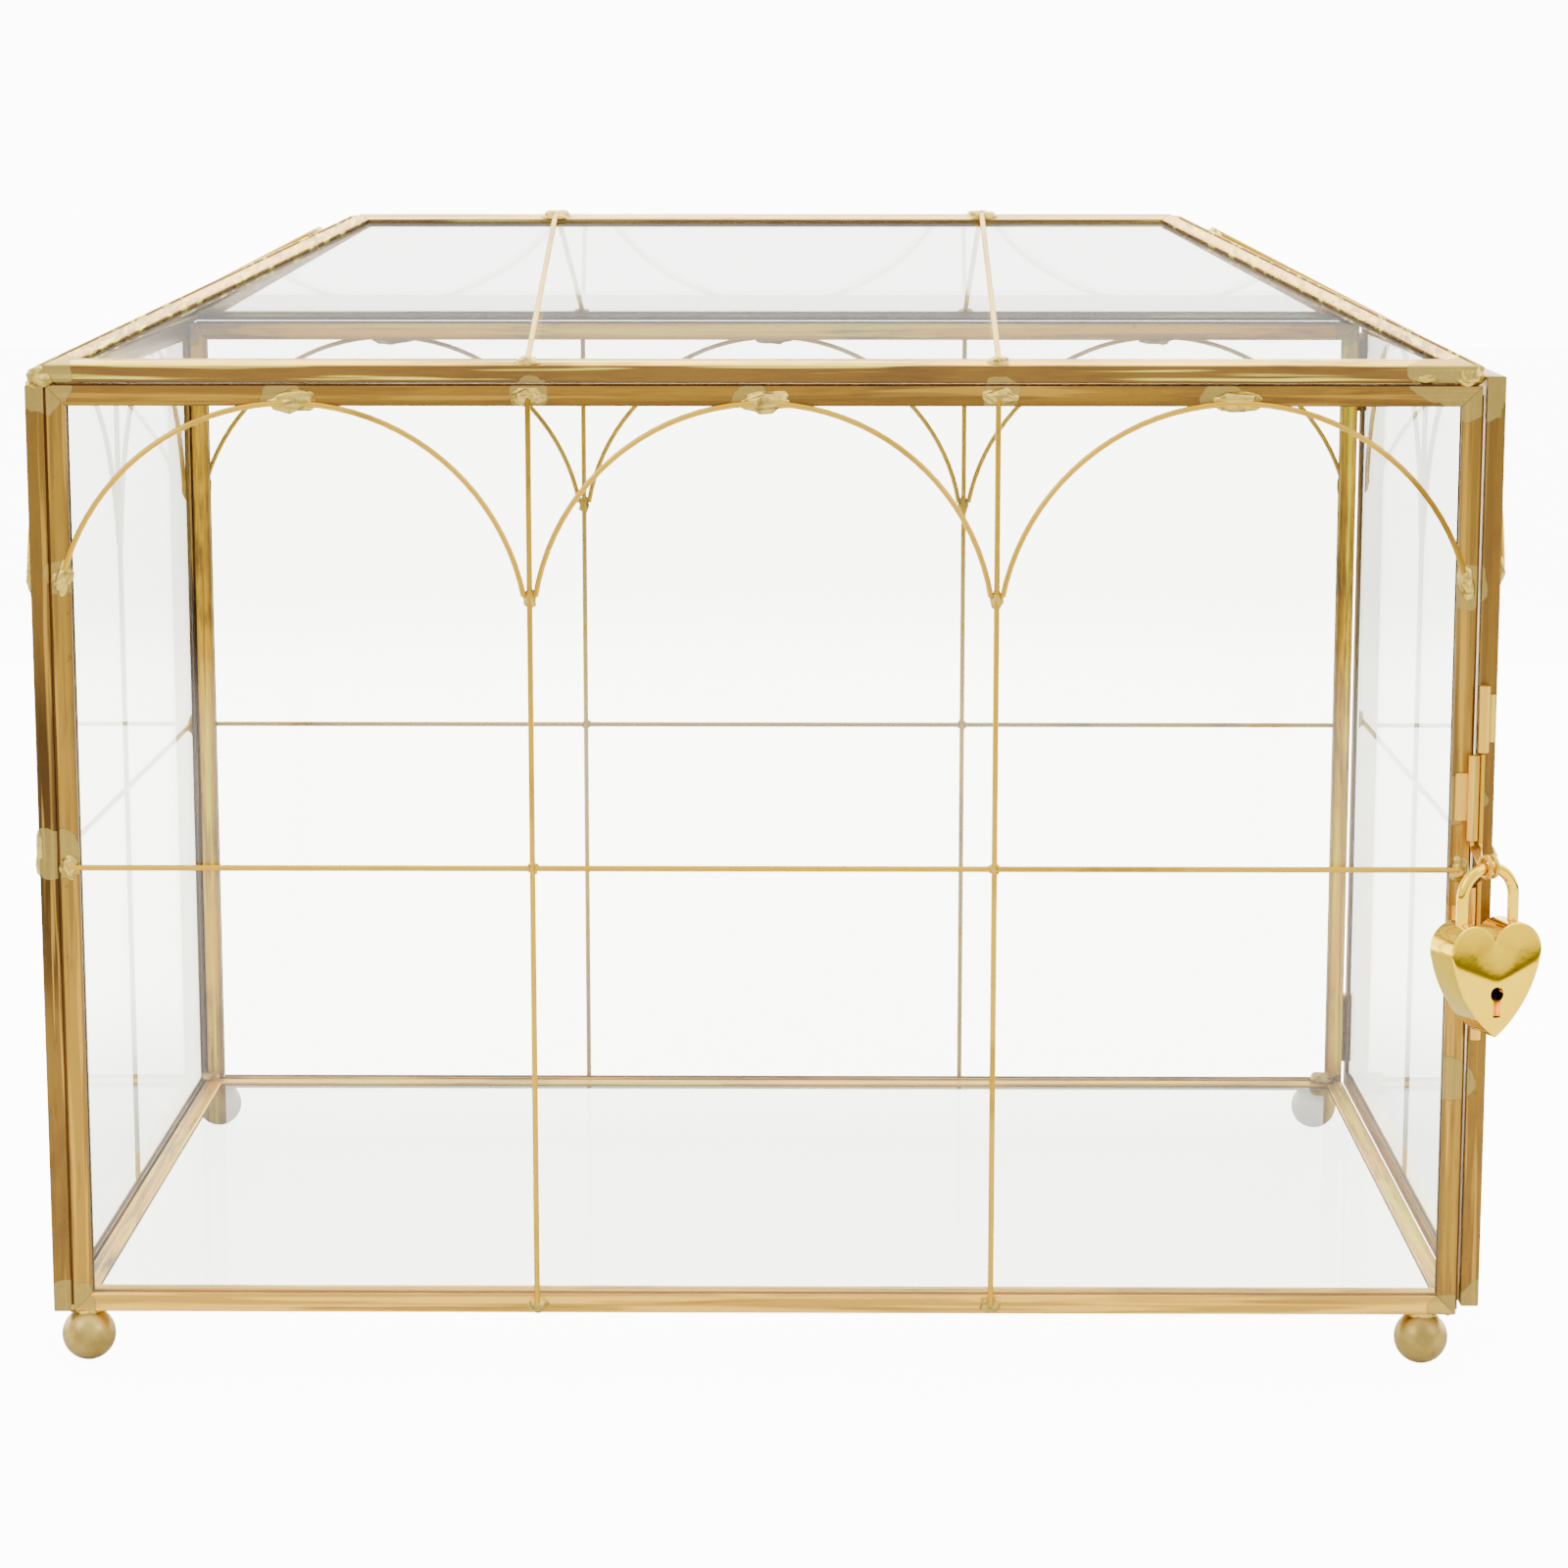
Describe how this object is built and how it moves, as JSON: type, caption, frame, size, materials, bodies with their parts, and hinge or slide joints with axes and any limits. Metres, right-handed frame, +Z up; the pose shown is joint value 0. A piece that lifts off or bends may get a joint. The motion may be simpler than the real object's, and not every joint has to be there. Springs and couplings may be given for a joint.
{
  "type": "wedding card box",
  "caption": "Free-standing glass box in soldered brass frames with a low hip roof, ball feet, arched wires, a hinged side door and a heart padlock on its latch.",
  "frame": {"origin": "bottom centre of the box that bounds the whole object, on the surface that it stands on", "axes": "+X from the closed left wall to the hinged door, +Y from the front wall to the back wall, +Z up"},
  "size_m": [0.3152, 0.2202, 0.242],
  "materials": {
    "glass": "clear float glass, 3 mm",
    "patinated_brass": "rolled brass channel with a warm brown patina",
    "satin_brass": "satin lacquered brass",
    "brass_wire": "drawn brass wire",
    "solder": "pale greenish gold solder",
    "polished_gold": "mirror polished gold plate"
  },
  "bodies": {
    "case": {"back_arch_wires": "brass_wire", "back_cross_wire": "brass_wire", "back_glass": "glass", "back_rails": "patinated_brass", "back_stiles": "patinated_brass", "back_upright_wires": "brass_wire", "ball_feet": "satin_brass", "case_hinge_knuckles": "patinated_brass", "case_latch_tubes": "patinated_brass", "case_solder": "solder", "floor_glass": "glass", "floor_long_rails": "patinated_brass", "floor_short_rails": "patinated_brass", "front_arch_wires": "brass_wire", "front_cross_wire": "brass_wire", "front_glass": "glass", "front_rails": "patinated_brass", "front_stiles": "patinated_brass", "front_upright_wires": "brass_wire", "hinge_pins": "patinated_brass", "left_arch_wires": "brass_wire", "left_cross_wire": "brass_wire", "left_glass": "glass", "left_rails": "patinated_brass", "left_stiles": "patinated_brass", "left_upright_wires": "brass_wire", "lower_latch_pin": "brass_wire", "roof_back_glass": "glass", "roof_back_hips": "patinated_brass", "roof_back_rails": "patinated_brass", "roof_back_wires": "brass_wire", "roof_front_glass": "glass", "roof_front_hips": "patinated_brass", "roof_front_rails": "patinated_brass", "roof_front_wires": "brass_wire", "roof_left_came": "patinated_brass", "roof_left_glass": "glass", "roof_left_wires": "brass_wire", "roof_right_came": "patinated_brass", "roof_right_glass": "glass", "roof_right_wires": "brass_wire", "upper_latch_pin": "brass_wire"},
    "door": {"door_arch_wires": "brass_wire", "door_cross_wire": "brass_wire", "door_glass": "glass", "door_hinge_knuckles": "patinated_brass", "door_latch_tubes": "patinated_brass", "door_rails": "patinated_brass", "door_solder": "solder", "door_stiles": "patinated_brass", "door_upright_wires": "brass_wire"},
    "shackle": {"padlock_shackle": "polished_gold"},
    "padlock_body": {"padlock_case": "polished_gold", "padlock_cover": "polished_gold", "padlock_latch": "polished_gold", "padlock_spring": "polished_gold"}
  },
  "joints": [
    {"name": "door_swing", "type": "hinge", "parent": "case", "child": "door", "pos_m": [0.14431, 0.10812, 0.10995], "axis": [0, 0, 1], "range_deg": [0, 110]},
    {"name": "padlock_swing", "type": "hinge", "parent": "case", "child": "shackle", "pos_m": [0.14586, -0.10158, 0.1108], "axis": [-0.9135, -0.4067, 0], "range_deg": [-2, 60]},
    {"name": "padlock_release", "type": "slide", "parent": "shackle", "child": "padlock_body", "axis": [0, 0, -1], "range_m": [0, 0.0065], "deforming": ["padlock_spring"]}
  ]
}
